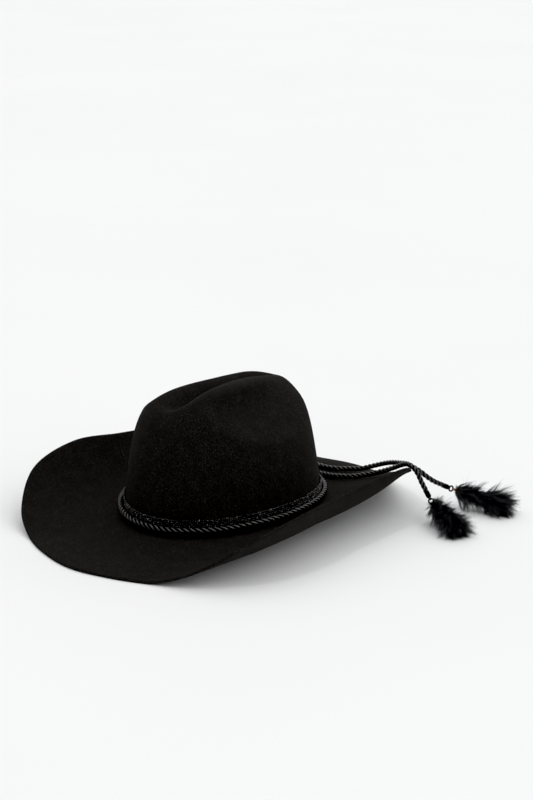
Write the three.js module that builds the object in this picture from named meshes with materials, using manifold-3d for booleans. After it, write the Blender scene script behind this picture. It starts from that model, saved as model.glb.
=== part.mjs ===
// Western hat of black felt: a rolled brim and a creased crown in one piece, a
// bead band and a twisted rope round the crown, and two rope tails with tassels.
// Millimetres, Z up. The hat stands on Z = 0 with its front towards -Y, and the
// origin lies on that surface under the middle of the crown.

import * as THREE from "three";
import { mergeVertices } from "three/addons/utils/BufferGeometryUtils.js";
import Module from "manifold-3d";

// Driving dimensions of the felt
const CROWN_LENGTH = 206;
const CROWN_WIDTH = 172;
const CROWN_HEIGHT = 144.7;
const CROWN_FELT = 2.2;
const CROWN_SWELL = 2.6;
const CROWN_SWELL_HEIGHT = 17;
const BRIM_LENGTH = 409.2;
const BRIM_WIDTH = 320;
const BRIM_FELT = 2.6;
const ROLL_HEIGHT = 57;
const SEAM_HEIGHT = 14.4;
const SEAM_RADIUS = 5;

// Driving dimensions of the crease and the two side dents
const CREASE_DEPTH = 23.8;
const CREASE_HALF_WIDTH_FRONT = 21.6;
const CREASE_HALF_WIDTH_BACK = 14.4;
const DENT_DEPTH = 21;
const DENT_HALF_LENGTH = 74;
const DENT_REACH_DOWN = 32;
const DENT_REACH_UP = 22;
const CROWN_LEAN = 13.4;

// Driving dimensions of the trim
const CLEARANCE = 0.3;
const BAND_HEIGHT = 13;
const BAND_THICKNESS = 1.8;
const BAND_FOOT = 3;
const ROPE_DIAMETER = 6;
const ROPE_FOOT = 3.6;
const KNOT_DIAMETER = 14;
const KNOT_LENGTH = 15;
const KNOT_LIFT = 1;
const TAIL_DIAMETER = 4.4;
const FERRULE_DIAMETER = 5.2;
const FERRULE_LENGTH = 7;
const FERRULE_CHAMFER = 0.8;
const RING_DIAMETER = 6;
const RING_WIRE = 0.8;
const EYE_DIAMETER = 3.2;
const EYE_WIRE = 0.7;
const HEAD_DIAMETER = 4.4;
const HEAD_LENGTH = 8;
const HEAD_CHAMFER = 0.7;
const HEAD_BARE_LENGTH = 5.6;
const TASSEL_LENGTH = 57;
const TASSEL_DIAMETER = 30;
const LOCK_DIAMETER = 9;

// Number of flat faces
const AROUND = 72;
const BRIM_ROWS = 7;
const SEAM_ROWS = 3;
const WALL_ROWS = 3;
const TOP_ROWS = 8;
const ROPE_SIDES = 8;
const ROPE_STEPS = 56;
const TAIL_SIDES = 8;
const TAIL_STEPS = 32;
const KNOT_SIDES = 16;
const FERRULE_SIDES = 12;
const WIRE_SIDES = 6;
const EYE_STEPS = 12;
const RING_STEPS = 16;
const HEAD_SIDES = 10;
const CORE_SIDES = 9;
const LOCK_SIDES = 5;

// The brim's middle surface, one row every 15 degrees from the front (0) to the
// back (180), mirrored to the other side. across and along are shares of half
// the brim's width and length, lift of ROLL_HEIGHT, and liftFar is the lift on
// the -X side. slope is the fall or rise next to the crown, and power says how
// late the felt turns up to its edge.
const BRIM_SECTIONS = [
  { across: 0.000, along: 1.000, lift: 0.02, liftFar: 0.02, slope: -0.20, power: 2.6 },
  { across: 0.255, along: 0.965, lift: 0.01, liftFar: 0.01, slope: -0.20, power: 2.6 },
  { across: 0.506, along: 0.890, lift: 0.02, liftFar: 0.02, slope: -0.20, power: 2.6 },
  { across: 0.763, along: 0.774, lift: 0.29, liftFar: 0.29, slope: -0.19, power: 2.6 },
  { across: 0.956, along: 0.560, lift: 0.74, liftFar: 0.74, slope: -0.17, power: 2.7 },
  { across: 1.000, along: 0.271, lift: 0.95, liftFar: 0.95, slope: -0.12, power: 2.8 },
  { across: 0.951, along: 0.000, lift: 0.94, liftFar: 0.90, slope: -0.07, power: 3.0 },
  { across: 0.929, along: -0.252, lift: 0.97, liftFar: 0.83, slope: 0.00, power: 3.5 },
  { across: 0.894, along: -0.523, lift: 0.94, liftFar: 0.73, slope: 0.10, power: 3.7 },
  { across: 0.734, along: -0.733, lift: 0.64, liftFar: 0.50, slope: 0.15, power: 2.6 },
  { across: 0.494, along: -0.880, lift: 0.32, liftFar: 0.17, slope: 0.12, power: 2.2 },
  { across: 0.256, along: -0.968, lift: 0.07, liftFar: 0.01, slope: 0.07, power: 2.8 },
  { across: 0.000, along: -1.000, lift: 0.02, liftFar: 0.02, slope: 0.05, power: 3.4 },
];

// Height of the seam between brim and crown: shares of SEAM_HEIGHT that lean it
// forwards and let it fall towards both ends.
const SEAM = { lean: -0.12, fall: -0.16 };

// The crown as a dome before it is creased. narrow is the share of its size at
// the base that is left at the top, power how late it narrows, and the three
// corners say how square its shoulder is (0 is square, 1 is round).
const DOME = {
  narrowFront: 0.91,
  narrowBack: 0.88,
  narrowSide: 0.87,
  narrowPower: 1.4,
  cornerFront: 0.52,
  cornerBack: 0.33,
  cornerSide: 0.51,
};

// Height along the crown's top: shares of CROWN_HEIGHT, against the place along
// the crown as a share of half its length.
const TOP_LINE = { tilt: -0.048, bow: -0.001, twist: -0.031 };

// How the lean between the two ridges changes along the crown, on the same scale.
const LEAN_LINE = { tilt: -0.6, bow: -0.84 };

// Where the crease begins and ends, and over what length each end closes: shares
// of half the crown's length. Its half width changes between narrowFrom and
// narrowTo.
const CREASE = {
  front: -0.926,
  frontRun: 0.346,
  back: 0.782,
  backRun: 0.484,
  narrowFrom: -0.68,
  narrowTo: 0.19,
};

// Middle of each side dent: along the crown as a share of half its length, and
// up as a share of CROWN_HEIGHT. inner is where the dent fades out towards the
// crease, as a share of half the crown's width, and power rounds its lip.
const DENT = { along: 0.078, up: 0.87, inner: 0.46, power: 1.05 };

// Outline of the knot: along is a share of half its length, out of its radius.
const KNOT_OUTLINE = [
  { along: -1.0, out: 0.9 },
  { along: -0.6, out: 1.0 },
  { along: 0.6, out: 1.0 },
  { along: 1.0, out: 0.9 },
];

// Outline of a lock of fur: along is a share of its length, out of its radius.
const LOCK_OUTLINE = [
  { along: 0.0, out: 0.50 },
  { along: 0.5, out: 1.00 },
  { along: 1.0, out: 0.07 },
];

// Turn at which the crown's side ends and its shoulder begins.
const SHOULDER_TURN = 0.36;

const HALF_TURN = Math.PI;

const materials = {
  felt: new THREE.MeshStandardMaterial({ color: 0x141312, roughness: 0.95, metalness: 0 }),
  beads: new THREE.MeshStandardMaterial({ color: 0x0b0b0c, roughness: 0.25, metalness: 0 }),
  rope: new THREE.MeshStandardMaterial({ color: 0x0d0d0e, roughness: 0.4, metalness: 0 }),
  ring: new THREE.MeshStandardMaterial({ color: 0x232325, roughness: 0.35, metalness: 1 }),
  fur: new THREE.MeshStandardMaterial({ color: 0x101116, roughness: 0.9, metalness: 0 }),
};

function smooth(share) {
  const x = Math.min(Math.max(share, 0), 1);
  return x * x * (3 - 2 * x);
}

function mix(a, b, share) {
  return a + (b - a) * share;
}

// Value of one column of BRIM_SECTIONS at an angle from the front, on a smooth
// curve through the rows. The -X side takes the column far, times sign.
function brimColumn(column, angle, far = column, sign = 1) {
  const last = BRIM_SECTIONS.length - 1;
  const place = (angle / HALF_TURN) * last;
  const row = Math.floor(place);
  const at = (index) => {
    const turned = ((index % (2 * last)) + 2 * last) % (2 * last);
    const mirrored = turned > last;
    const section = BRIM_SECTIONS[mirrored ? 2 * last - turned : turned];
    return mirrored ? sign * section[far] : section[column];
  };
  const [p0, p1, p2, p3] = [at(row - 1), at(row), at(row + 1), at(row + 2)];
  const x = place - row;
  const bend = 2 * p0 - 5 * p1 + 4 * p2 - p3;
  const swing = 3 * p1 - p0 - 3 * p2 + p3;
  return p1 + 0.5 * x * (p2 - p0 + x * (bend + x * swing));
}

function seamHeight(angle) {
  const share = 1 + SEAM.lean * Math.cos(angle) + SEAM.fall * Math.cos(2 * angle);
  return SEAM_HEIGHT * share;
}

// Point where the top of the brim would meet the crown's outside without the
// rounding between them.
function seamPoint(angle) {
  return new THREE.Vector3(
    (CROWN_WIDTH / 2) * Math.sin(angle),
    (-CROWN_LENGTH / 2) * Math.cos(angle),
    seamHeight(angle) + BRIM_FELT / 2,
  );
}

// Point of the brim's top, from share 0 at the crown to share 1 at the edge.
function brimPoint(angle, share) {
  const seam = seamPoint(angle);
  const edge = new THREE.Vector3(
    (BRIM_WIDTH / 2) * brimColumn("across", angle, "across", -1),
    (-BRIM_LENGTH / 2) * brimColumn("along", angle),
    ROLL_HEIGHT * brimColumn("lift", angle, "liftFar") + BRIM_FELT / 2,
  );
  const reach = Math.hypot(edge.x - seam.x, edge.y - seam.y);
  const rise = brimColumn("slope", angle) * reach;
  const turn = share ** brimColumn("power", angle);
  const point = seam.clone().lerp(edge, share);
  point.z = seam.z + rise * share + (edge.z - seam.z - rise) * turn;
  point.z = Math.max(point.z, BRIM_FELT);
  return point;
}

function domeCorner(angle) {
  const forward = Math.cos(angle);
  const end = forward > 0 ? DOME.cornerFront : DOME.cornerBack;
  return end * forward ** 2 + DOME.cornerSide * Math.sin(angle) ** 2;
}

function topHeight(y) {
  const along = y / (CROWN_LENGTH / 2);
  const share = 1 + along * (TOP_LINE.tilt + along * (TOP_LINE.bow + along * TOP_LINE.twist));
  return CROWN_HEIGHT * share;
}

// Depth of the crease at a place on the crown's top, as a share of its depth.
function creaseShare(x, y) {
  const along = y / (CROWN_LENGTH / 2);
  const opened = smooth((along - CREASE.front) / CREASE.frontRun);
  const closed = smooth((CREASE.back - along) / CREASE.backRun);
  const narrowed = smooth((along - CREASE.narrowFrom) / (CREASE.narrowTo - CREASE.narrowFrom));
  const halfWidth = mix(CREASE_HALF_WIDTH_FRONT, CREASE_HALF_WIDTH_BACK, narrowed);
  return (opened * closed) / (1 + (x / halfWidth) ** 2) ** 1.5;
}

// How far the side dents push the felt in at a point. Each is an oval bowl.
function dentPush(x, y, z) {
  const along = (y - DENT.along * (CROWN_LENGTH / 2)) / DENT_HALF_LENGTH;
  const above = z - DENT.up * CROWN_HEIGHT;
  const up = above / (above > 0 ? DENT_REACH_UP : DENT_REACH_DOWN);
  const bowl = Math.max(1 - along ** 2 - up ** 2, 0) ** DENT.power;
  return DENT_DEPTH * bowl * Math.min(Math.abs(x) / (DENT.inner * (CROWN_WIDTH / 2)), 1);
}

// How far the crown swells out just above the band.
function swell(height) {
  const share = height / CROWN_SWELL_HEIGHT;
  return CROWN_SWELL * share * Math.exp(1 - share);
}

// Point of the crown's outside. out and up are the shares of the dome's reach
// and height, both on its rounded section.
function domePoint(angle, out, up) {
  const narrowEnd = Math.cos(angle) > 0 ? DOME.narrowFront : DOME.narrowBack;
  const narrowed = up ** DOME.narrowPower;
  const seam = seamPoint(angle);
  const swollen = swell(up * (CROWN_HEIGHT - seam.z));
  const away = outward(angle).multiplyScalar(out * swollen);
  const x = seam.x * out * mix(1, DOME.narrowSide, narrowed) + away.x;
  const y = seam.y * out * mix(1, narrowEnd, narrowed) + away.y;
  const along = y / (CROWN_LENGTH / 2);
  const leanShare = 1 + along * (LEAN_LINE.tilt + along * LEAN_LINE.bow);
  const lean = CROWN_LEAN * leanShare * (x / (CROWN_WIDTH / 2));
  let z = mix(seam.z, topHeight(y), up);
  z += (lean - CREASE_DEPTH * creaseShare(x, y)) * up ** 3;
  return new THREE.Vector3(x - Math.sign(x) * dentPush(x, y, z), y, z);
}

// Point of the crown's outside, from turn 0 at the seam to turn 1 at the top.
function crownPoint(angle, turn) {
  const corner = domeCorner(angle);
  const c = Math.cos((turn * HALF_TURN) / 2);
  const s = Math.sin((turn * HALF_TURN) / 2);
  const radius = (Math.abs(c) ** (2 / corner) + s ** (2 / corner)) ** (-corner / 2);
  return domePoint(angle, radius * c, radius * s);
}

// Point of the crown's side at a height above the seam.
function wallPoint(angle, height) {
  const corner = domeCorner(angle);
  const seam = seamPoint(angle);
  const up = height / (topHeight(seam.y) - seam.z);
  return domePoint(angle, (1 - up ** (2 / corner)) ** (corner / 2), up);
}

// Outward direction of the crown's base oval, level with the floor.
function outward(angle) {
  const x = Math.sin(angle) / (CROWN_WIDTH / 2);
  const y = -Math.cos(angle) / (CROWN_LENGTH / 2);
  return new THREE.Vector3(x, y, 0).normalize();
}

// One line over the felt's top side, from the brim's edge to the crown's top.
function feltLine(angle) {
  const seam = seamPoint(angle);
  const edge = brimPoint(angle, 1);
  const foot = SEAM_RADIUS / Math.hypot(edge.x - seam.x, edge.y - seam.y);
  const line = [];
  for (let row = 0; row <= BRIM_ROWS; row++) {
    line.push(brimPoint(angle, mix(1, foot, row / BRIM_ROWS)));
  }
  const low = brimPoint(angle, foot);
  const high = wallPoint(angle, SEAM_RADIUS);
  const rounding = new THREE.QuadraticBezierCurve3(low, seam, high);
  for (let row = 1; row < SEAM_ROWS; row++) {
    line.push(rounding.getPoint(row / SEAM_ROWS));
  }
  line.push(high);
  for (let row = 1; row <= WALL_ROWS; row++) {
    line.push(crownPoint(angle, SHOULDER_TURN * (row / WALL_ROWS)));
  }
  for (let row = 1; row <= TOP_ROWS; row++) {
    line.push(crownPoint(angle, mix(SHOULDER_TURN, 1, row / TOP_ROWS)));
  }
  return line;
}

// Direction that a surface faces at one point of a grid of lines that runs round.
function gridNormal(lines, column, row) {
  const count = lines.length;
  const before = lines[(column + count - 1) % count][row];
  const after = lines[(column + 1) % count][row];
  const line = lines[column];
  const along = line[Math.min(row + 1, line.length - 1)].clone();
  along.sub(line[Math.max(row - 1, 0)]);
  return after.clone().sub(before).cross(along).normalize();
}

// Closed body between a top skin and an under skin, both as lines that run from
// the open edge to one shared last point.
function shellGeometry(top, under) {
  const columns = top.length;
  const rows = top[0].length;
  const positions = [];
  for (const skin of [top, under]) {
    for (const line of skin) {
      for (const point of line) positions.push(point.x, point.y, point.z);
    }
  }
  const at = (skin, column, row) => {
    const wrapped = row === rows - 1 ? 0 : column % columns;
    return (skin * columns + wrapped) * rows + row;
  };
  const faces = [];
  const quad = (a, b, c, d) => {
    faces.push(a, b, c);
    if (c !== d) faces.push(a, c, d);
  };
  for (let column = 0; column < columns; column++) {
    const next = column + 1;
    for (let row = 0; row < rows - 1; row++) {
      quad(at(0, column, row), at(0, next, row), at(0, next, row + 1), at(0, column, row + 1));
      quad(at(1, next, row), at(1, column, row), at(1, column, row + 1), at(1, next, row + 1));
    }
    quad(at(0, next, 0), at(0, column, 0), at(1, column, 0), at(1, next, 0));
  }
  const geometry = new THREE.BufferGeometry();
  geometry.setAttribute("position", new THREE.Float32BufferAttribute(positions, 3));
  geometry.setIndex(faces);
  return mergeVertices(geometry, 1e-4);
}

// Closed ring whose section is the polygon that sectionAt gives for each angle.
function ringGeometry(columns, sectionAt) {
  const positions = [];
  let corners = 0;
  for (let column = 0; column < columns; column++) {
    const section = sectionAt((column / columns) * 2 * HALF_TURN);
    corners = section.length;
    for (const point of section) positions.push(point.x, point.y, point.z);
  }
  const faces = [];
  for (let column = 0; column < columns; column++) {
    const next = (column + 1) % columns;
    for (let corner = 0; corner < corners; corner++) {
      const turned = (corner + 1) % corners;
      const a = column * corners + corner;
      const b = next * corners + corner;
      const c = next * corners + turned;
      const d = column * corners + turned;
      faces.push(a, b, c, a, c, d);
    }
  }
  const geometry = new THREE.BufferGeometry();
  geometry.setAttribute("position", new THREE.Float32BufferAttribute(positions, 3));
  geometry.setIndex(faces);
  return geometry;
}

function feltBody() {
  const top = [];
  for (let column = 0; column < AROUND; column++) {
    top.push(feltLine((column / AROUND) * 2 * HALF_TURN));
  }
  const lastRow = top[0].length - 1;
  const brimEnd = BRIM_ROWS + SEAM_ROWS;
  const under = top.map((line, column) =>
    line.map((point, row) => {
      const felt = row < BRIM_ROWS ? BRIM_FELT : CROWN_FELT;
      const facing = row === lastRow ? new THREE.Vector3(0, 0, 1) : gridNormal(top, column, row);
      const moved = point.clone().addScaledVector(facing, -felt);
      if (row < brimEnd) moved.z = Math.max(moved.z, 0);
      return moved;
    }),
  );
  return shellGeometry(top, under);
}

function beadBand() {
  const foot = BAND_FOOT;
  const head = BAND_FOOT + BAND_HEIGHT;
  return ringGeometry(AROUND, (angle) => {
    const away = outward(angle);
    const offset = (height, distance) => wallPoint(angle, height).addScaledVector(away, distance);
    const inner = CLEARANCE * 2;
    const outer = inner + BAND_THICKNESS;
    return [offset(foot, inner), offset(foot, outer), offset(head, outer), offset(head, inner)];
  });
}

const ROPE_CENTRE_HEIGHT = ROPE_FOOT + ROPE_DIAMETER / 2;
const BAND_OUTSIDE = CLEARANCE * 2 + BAND_THICKNESS;

// Middle line of the rope round the crown, at an angle from the front.
function ropePoint(angle) {
  const distance = BAND_OUTSIDE + CLEARANCE + ROPE_DIAMETER / 2;
  return wallPoint(angle, ROPE_CENTRE_HEIGHT).addScaledVector(outward(angle), distance);
}

// The rope runs from one face of the knot at the back round the front to the
// other face.
class RopePath extends THREE.Curve {
  constructor() {
    super();
    const halfKnot = KNOT_LENGTH / 2 + CLEARANCE;
    this.gap = Math.asin(halfKnot / ropePoint(HALF_TURN / 2).x);
  }

  getPoint(share, target = new THREE.Vector3()) {
    const angle = mix(this.gap - HALF_TURN, HALF_TURN - this.gap, share);
    return target.copy(ropePoint(angle));
  }
}

function circleShape(diameter, sides) {
  const shape = new THREE.Shape();
  for (let side = 0; side < sides; side++) {
    const angle = (side / sides) * 2 * HALF_TURN;
    const x = (diameter / 2) * Math.cos(angle);
    const y = (diameter / 2) * Math.sin(angle);
    if (side === 0) shape.moveTo(x, y);
    else shape.lineTo(x, y);
  }
  shape.closePath();
  return shape;
}

function tube(path, diameter, sides, steps) {
  const options = { steps, extrudePath: path, bevelEnabled: false };
  return new THREE.ExtrudeGeometry(circleShape(diameter, sides), options);
}

// Middle of the knot, behind the bead band at the back of the crown.
function knotCentre() {
  const wall = wallPoint(HALF_TURN, ROPE_CENTRE_HEIGHT);
  const away = BAND_OUTSIDE + CLEARANCE + KNOT_DIAMETER / 2;
  return new THREE.Vector3(0, wall.y + away, wall.z + KNOT_LIFT);
}

// Middle lines of the two tails, from the knot along the back of the brim, over
// its rolled edge and down to the ferrules. The points are chosen by hand.
const TAIL_ROUTES = {
  right: [
    [-6.5, 121.8, 21],
    [-6.5, 125, 20.7],
    [-5.2, 130, 20.3],
    [-2, 134, 20],
    [2.8, 136.4, 19.8],
    [8.5, 137.4, 19.6],
    [15, 137.9, 19.6],
    [25, 140.7, 19.8],
    [37, 148, 20.4],
    [50, 153, 22.5],
    [65, 156.5, 28.3],
    [78, 157, 33.6],
    [91, 154, 38.2],
    [104, 150, 41.6],
    [116, 146, 44.2],
    [126, 143.8, 43.8],
    [134.5, 144.4, 41],
    [141, 148, 35.6],
    [145.5, 154.5, 30],
    [148.7, 164.6, 24.3],
  ],
  left: [
    [7.8, 117.6, 20],
    [14, 118.2, 19.6],
    [23, 118.5, 19.6],
    [36, 119, 20.3],
    [50, 120, 22.2],
    [61, 123.5, 23.6],
    [70, 130, 25.2],
    [82, 136, 29],
    [95, 138, 34.5],
    [107, 137.5, 40.4],
    [118, 135.7, 46.2],
    [128, 133, 49.8],
    [136.4, 131, 48.8],
    [142.8, 130.5, 44],
    [147, 131, 36.5],
    [152.8, 132, 27.2],
  ],
};

// Where each tassel points: turn about Z from +X, and fall, both in degrees.
const TASSEL_AIMS = {
  right: { turn: 17, fall: 9 },
  left: { turn: -25, fall: 9 },
};

// Outline of a tassel's solid core: along and out are shares of its length and
// of half its diameter.
const TASSEL_CORE = [
  { along: 0.00, out: 0.16 },
  { along: 0.12, out: 0.30 },
  { along: 0.30, out: 0.52 },
  { along: 0.45, out: 0.46 },
  { along: 0.65, out: 0.64 },
  { along: 0.84, out: 0.54 },
  { along: 0.95, out: 0.22 },
];

// Rings of fur locks on the core. along is where a ring is rooted and length how
// long its locks are, as shares of the tassel's length, and spread is the angle
// between a lock and the tassel's middle line.
const TASSEL_LOCKS = [
  { along: 0.10, length: 0.36, spread: 26, count: 4, first: 20 },
  { along: 0.38, length: 0.38, spread: 34, count: 5, first: 50 },
  { along: 0.62, length: 0.37, spread: 30, count: 5, first: 10 },
];

const wasm = await Module();
wasm.setup();

// Solid of a closed mesh, placed by a matrix.
function solidOf(geometry, matrix = new THREE.Matrix4()) {
  const bare = geometry.index ? geometry.clone() : geometry;
  bare.deleteAttribute("normal");
  bare.deleteAttribute("uv");
  const merged = mergeVertices(bare, 1e-4).applyMatrix4(matrix);
  const vertProperties = new Float32Array(merged.attributes.position.array);
  const triVerts = new Uint32Array(merged.index.array);
  return new wasm.Manifold(new wasm.Mesh({ numProp: 3, vertProperties, triVerts }));
}

function geometryOf(solid) {
  const mesh = solid.getMesh();
  const geometry = new THREE.BufferGeometry();
  geometry.setAttribute("position", new THREE.BufferAttribute(mesh.vertProperties, 3));
  geometry.setIndex(new THREE.BufferAttribute(mesh.triVerts, 1));
  return geometry;
}

function joined(solids) {
  return geometryOf(solids.reduce((sum, solid) => sum.add(solid)));
}

// Frame whose X runs along a direction and whose Z is the given normal.
function frameAlong(origin, direction, normal) {
  const side = normal.clone().cross(direction).normalize();
  const up = direction.clone().cross(side).normalize();
  return new THREE.Matrix4().makeBasis(direction, side, up).setPosition(origin);
}

// Round body along X from a list of [place along X, radius] pairs.
function turned(profile, sides) {
  const first = profile[0][0];
  const last = profile[profile.length - 1][0];
  const points = [new THREE.Vector2(0, first)];
  for (const [along, radius] of profile) points.push(new THREE.Vector2(radius, along));
  points.push(new THREE.Vector2(0, last));
  return new THREE.LatheGeometry(points, sides).rotateZ(-HALF_TURN / 2);
}

// Barrel knot along X that joins the rope's two ends and lets the tails out.
function knotGeometry() {
  const place = ({ along, out }) => [(along * KNOT_LENGTH) / 2, (out * KNOT_DIAMETER) / 2];
  return turned(KNOT_OUTLINE.map(place), KNOT_SIDES);
}

const EYE_REACH = (EYE_DIAMETER - EYE_WIRE) / 2;

// Small ring in the XZ plane of its own frame, with its middle at the origin.
function eyeGeometry() {
  const eye = new THREE.TorusGeometry(EYE_REACH, EYE_WIRE / 2, WIRE_SIDES, EYE_STEPS);
  return eye.rotateX(HALF_TURN / 2);
}

// Bound end of a tail: a short sleeve and the eye that the ring hangs in.
function ferruleGeometry() {
  const radius = FERRULE_DIAMETER / 2;
  const profile = [
    [0, radius],
    [FERRULE_LENGTH - FERRULE_CHAMFER, radius],
    [FERRULE_LENGTH, radius - FERRULE_CHAMFER],
  ];
  const eye = new THREE.Matrix4().makeTranslation(FERRULE_LENGTH + EYE_REACH, 0, 0);
  return joined([solidOf(turned(profile, FERRULE_SIDES)), solidOf(eyeGeometry(), eye)]);
}

// Bound head of a tassel, along X from its eye.
function headGeometry() {
  const radius = HEAD_DIAMETER / 2;
  const profile = [
    [EYE_REACH, radius - HEAD_CHAMFER],
    [EYE_REACH + HEAD_CHAMFER, radius],
    [EYE_REACH + HEAD_LENGTH, radius],
  ];
  return turned(profile, HEAD_SIDES);
}

// One lock of fur: a spindle along X that ends in a point.
function lockGeometry(length) {
  const place = ({ along, out }) => [along * length, (out * LOCK_DIAMETER) / 2];
  return turned(LOCK_OUTLINE.map(place), LOCK_SIDES);
}

// Tassel along X from its eye: a bound head, a core and rings of locks. The part
// below the floor is cut away.
function tasselGeometry(frame) {
  const radius = TASSEL_DIAMETER / 2;
  const place = (share) => EYE_REACH + HEAD_BARE_LENGTH + TASSEL_LENGTH * share;
  const core = turned(TASSEL_CORE.map(({ along, out }) => [place(along), out * radius]), CORE_SIDES);
  const solids = [solidOf(eyeGeometry()), solidOf(headGeometry()), solidOf(core)];
  for (const ring of TASSEL_LOCKS) {
    for (let lock = 0; lock < ring.count; lock++) {
      const turn = THREE.MathUtils.degToRad(ring.first + (360 * lock) / ring.count);
      const root = new THREE.Matrix4().makeTranslation(place(ring.along), 0, 0);
      const spread = new THREE.Matrix4().makeRotationY(-THREE.MathUtils.degToRad(ring.spread));
      const matrix = root.multiply(new THREE.Matrix4().makeRotationX(turn)).multiply(spread);
      solids.push(solidOf(lockGeometry(ring.length * TASSEL_LENGTH), matrix));
    }
  }
  const whole = solidOf(joined(solids), frame);
  const size = TASSEL_LENGTH * 4;
  const floor = new THREE.BoxGeometry(size, size, size).translate(0, 0, -size / 2);
  const middle = new THREE.Matrix4().makeTranslation(frame.elements[12], frame.elements[13], 0);
  return geometryOf(whole.subtract(solidOf(floor, middle)));
}

const hat = new THREE.Group();

function addMesh(name, geometry, material, parent = hat) {
  const mesh = new THREE.Mesh(geometry, material);
  mesh.name = name;
  parent.add(mesh);
  return mesh;
}

addMesh("felt_body", feltBody(), materials.felt);
addMesh("bead_band", beadBand(), materials.beads);
const ropeTube = tube(new RopePath(), ROPE_DIAMETER, ROPE_SIDES, ROPE_STEPS);
addMesh("band_rope", ropeTube, materials.rope);
addMesh("rope_knot", knotGeometry(), materials.rope).position.copy(knotCentre());

const ringRadius = (RING_DIAMETER - RING_WIRE) / 2;

// Unit vector that is turned about Z from +X and then falls, both in degrees.
function aimOf({ turn, fall }) {
  const heading = THREE.MathUtils.degToRad(turn);
  const dip = THREE.MathUtils.degToRad(fall);
  const level = Math.cos(dip);
  return new THREE.Vector3(Math.cos(heading) * level, Math.sin(heading) * level, -Math.sin(dip));
}

for (const side of ["right", "left"]) {
  const points = TAIL_ROUTES[side].map((point) => new THREE.Vector3(...point));
  const route = new THREE.CatmullRomCurve3(points, false, "centripetal");
  addMesh(`tail_${side}`, tube(route, TAIL_DIAMETER, TAIL_SIDES, TAIL_STEPS), materials.rope);

  const leave = route.getTangent(1);
  const aim = aimOf(TASSEL_AIMS[side]);
  const normal = leave.clone().cross(aim).normalize();
  if (normal.z < 0) normal.negate();

  const start = points[points.length - 1].clone().addScaledVector(leave, CLEARANCE);
  const ferrule = addMesh(`ferrule_${side}`, ferruleGeometry(), materials.rope);
  ferrule.applyMatrix4(frameAlong(start, leave, normal));

  const firstEye = start.clone().addScaledVector(leave, FERRULE_LENGTH + EYE_REACH);
  const ringMiddle = firstEye.clone().addScaledVector(leave, ringRadius);
  const wire = new THREE.TorusGeometry(ringRadius, RING_WIRE / 2, WIRE_SIDES, RING_STEPS);
  const ring = addMesh(`ring_${side}`, wire, materials.ring);
  ring.applyMatrix4(frameAlong(ringMiddle, leave, normal));

  const secondEye = ringMiddle.clone().addScaledVector(aim, ringRadius);
  addMesh(`tassel_${side}`, tasselGeometry(frameAlong(secondEye, aim, normal)), materials.fur);
}

export default hat;
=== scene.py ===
"""Western hat of black felt: rolled brim and creased crown, a bead band, a twisted
rope and two rope tails with fur tassels, on a pale floor. All lengths are metres.
The hat stands on Z = 0 with its front towards -Y."""

import math

import bpy
import numpy as np
from mathutils import Matrix, Vector


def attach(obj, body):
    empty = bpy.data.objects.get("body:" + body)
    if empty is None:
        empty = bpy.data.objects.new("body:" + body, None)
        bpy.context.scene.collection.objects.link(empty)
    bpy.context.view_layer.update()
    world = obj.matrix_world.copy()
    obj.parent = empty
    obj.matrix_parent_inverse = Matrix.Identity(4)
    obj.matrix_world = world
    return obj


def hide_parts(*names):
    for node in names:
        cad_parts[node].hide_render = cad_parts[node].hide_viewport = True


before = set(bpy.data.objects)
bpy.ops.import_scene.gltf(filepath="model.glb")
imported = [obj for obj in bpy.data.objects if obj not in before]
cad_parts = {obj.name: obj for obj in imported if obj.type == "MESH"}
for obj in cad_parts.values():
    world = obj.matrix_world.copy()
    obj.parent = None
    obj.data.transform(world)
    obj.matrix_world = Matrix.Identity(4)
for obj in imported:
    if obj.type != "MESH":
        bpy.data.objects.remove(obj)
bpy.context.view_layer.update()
random = np.random.default_rng(7)

# The felt, as in the CAD model
CROWN_LENGTH = 0.206
CROWN_WIDTH = 0.172
CROWN_HEIGHT = 0.1447
CROWN_FELT = 0.0022
CROWN_SWELL = 0.0026
CROWN_SWELL_HEIGHT = 0.017
BRIM_LENGTH = 0.4092
BRIM_WIDTH = 0.320
BRIM_FELT = 0.0026
ROLL_HEIGHT = 0.057
SEAM_HEIGHT = 0.0144
SEAM_RADIUS = 0.005
CREASE_DEPTH = 0.0238
CREASE_HALF_WIDTH_FRONT = 0.0216
CREASE_HALF_WIDTH_BACK = 0.0144
DENT_DEPTH = 0.021
DENT_HALF_LENGTH = 0.074
DENT_REACH_DOWN = 0.032
DENT_REACH_UP = 0.022
CROWN_LEAN = 0.0134

# The trim, as in the CAD model
CLEARANCE = 0.0003
BAND_HEIGHT = 0.013
BAND_THICKNESS = 0.0018
BAND_FOOT = 0.003
ROPE_DIAMETER = 0.006
ROPE_FOOT = 0.0036
KNOT_DIAMETER = 0.014
KNOT_LENGTH = 0.015
KNOT_LIFT = 0.001
TAIL_DIAMETER = 0.0044
FERRULE_DIAMETER = 0.0052
FERRULE_LENGTH = 0.007
RING_DIAMETER = 0.006
RING_WIRE = 0.0008
EYE_DIAMETER = 0.0032
EYE_WIRE = 0.0007
HEAD_DIAMETER = 0.0044
HEAD_LENGTH = 0.008
HEAD_BARE_LENGTH = 0.0056
TASSEL_LENGTH = 0.057
TASSEL_DIAMETER = 0.030

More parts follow.
